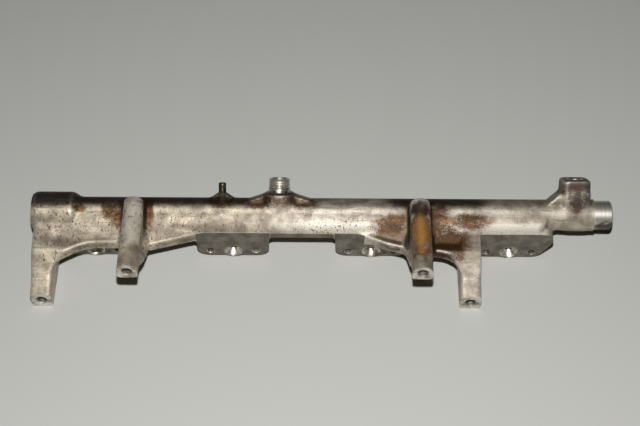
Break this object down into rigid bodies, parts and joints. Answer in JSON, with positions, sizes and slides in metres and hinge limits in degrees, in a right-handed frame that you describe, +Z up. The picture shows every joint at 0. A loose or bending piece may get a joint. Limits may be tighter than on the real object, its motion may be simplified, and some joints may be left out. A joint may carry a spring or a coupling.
{
  "type": "fuel rail",
  "caption": "Forged engine fuel rail with flanged injector seats, bolt legs, a threaded inlet port and a sensor boss.",
  "frame": {"origin": "on the rail's axis at its left end face, the mouth of the main bore", "axes": "+X along the rail from the collar to the spigot, +Z up from the face it lies on, bolts leave towards -Y"},
  "size_m": [0.3768, 0.0783, 0.0505],
  "materials": {
    "forged_steel": "blasted forging with heat stains",
    "pin_steel": "ground"
  },
  "bodies": {
    "root": {"rail_body": "forged_steel", "locating_pin": "pin_steel"}
  },
  "joints": []
}
